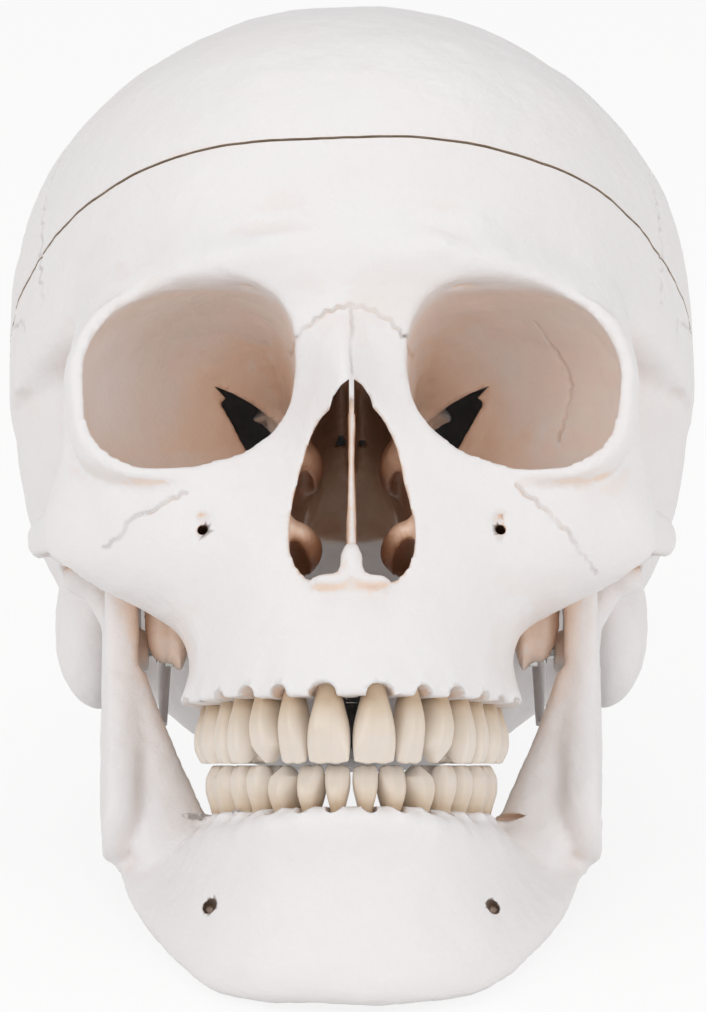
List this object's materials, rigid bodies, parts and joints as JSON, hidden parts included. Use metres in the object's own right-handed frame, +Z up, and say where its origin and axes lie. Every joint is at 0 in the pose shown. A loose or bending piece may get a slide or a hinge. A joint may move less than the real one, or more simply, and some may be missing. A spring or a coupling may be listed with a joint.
{
  "type": "anatomical skull model",
  "caption": "Life-size teaching skull: magnetic lift-off cap, sprung hinged lower jaw and separate ivory teeth in sockets.",
  "frame": {"origin": "middle of the footprint, on the table that the chin and the back of the base rest on", "axes": "+Z up, +X to the skull's own left, -Y the way the face looks"},
  "size_m": [0.1372, 0.2286, 0.163],
  "materials": {
    "cast_bone": "matt cast plastic, cool white",
    "tooth_ivory": "satin ivory plastic",
    "steel": "plain steel",
    "magnet": "nickel plated"
  },
  "bodies": {
    "skull_base": {"base_magnets": "magnet", "cap_locating_pins": "steel", "cranial_base": "cast_bone", "face_casting": "cast_bone", "forehead_casting": "cast_bone", "left_cheek_arch": "cast_bone", "left_jaw_spring": "steel", "left_lower_concha": "cast_bone", "left_middle_concha": "cast_bone", "left_styloid_process": "cast_bone", "nasal_septum": "cast_bone", "right_cheek_arch": "cast_bone", "right_jaw_spring": "steel", "right_lower_concha": "cast_bone", "right_middle_concha": "cast_bone", "right_styloid_process": "cast_bone", "upper_left_canine": "tooth_ivory", "upper_left_central_incisor": "tooth_ivory", "upper_left_first_molar": "tooth_ivory", "upper_left_first_premolar": "tooth_ivory", "upper_left_lateral_incisor": "tooth_ivory", "upper_left_second_molar": "tooth_ivory", "upper_left_second_premolar": "tooth_ivory", "upper_left_third_molar": "tooth_ivory", "upper_right_canine": "tooth_ivory", "upper_right_central_incisor": "tooth_ivory", "upper_right_first_molar": "tooth_ivory", "upper_right_first_premolar": "tooth_ivory", "upper_right_lateral_incisor": "tooth_ivory", "upper_right_second_molar": "tooth_ivory", "upper_right_second_premolar": "tooth_ivory", "upper_right_third_molar": "tooth_ivory", "upper_spring_screws": "steel"},
    "cap": {"skull_cap": "cast_bone", "cap_magnets": "magnet"},
    "jaw": {"lower_jaw": "cast_bone", "lower_left_canine": "tooth_ivory", "lower_left_central_incisor": "tooth_ivory", "lower_left_first_molar": "tooth_ivory", "lower_left_first_premolar": "tooth_ivory", "lower_left_lateral_incisor": "tooth_ivory", "lower_left_second_molar": "tooth_ivory", "lower_left_second_premolar": "tooth_ivory", "lower_left_third_molar": "tooth_ivory", "lower_right_canine": "tooth_ivory", "lower_right_central_incisor": "tooth_ivory", "lower_right_first_molar": "tooth_ivory", "lower_right_first_premolar": "tooth_ivory", "lower_right_lateral_incisor": "tooth_ivory", "lower_right_second_molar": "tooth_ivory", "lower_right_second_premolar": "tooth_ivory", "lower_right_third_molar": "tooth_ivory", "lower_spring_screws": "steel"}
  },
  "joints": [
    {"name": "cap_lift", "type": "slide", "parent": "skull_base", "child": "cap", "axis": [0, 0.6845, 0.729], "range_m": [0, 0.08]},
    {"name": "jaw_open", "type": "hinge", "parent": "skull_base", "child": "jaw", "pos_m": [0, -0.00427, 0.05347], "axis": [1, 0, 0], "range_deg": [0, 20], "stiffness_Nm_per_rad": 0.3, "springref_deg": -20.05, "deforming": ["left_jaw_spring", "right_jaw_spring"]}
  ]
}
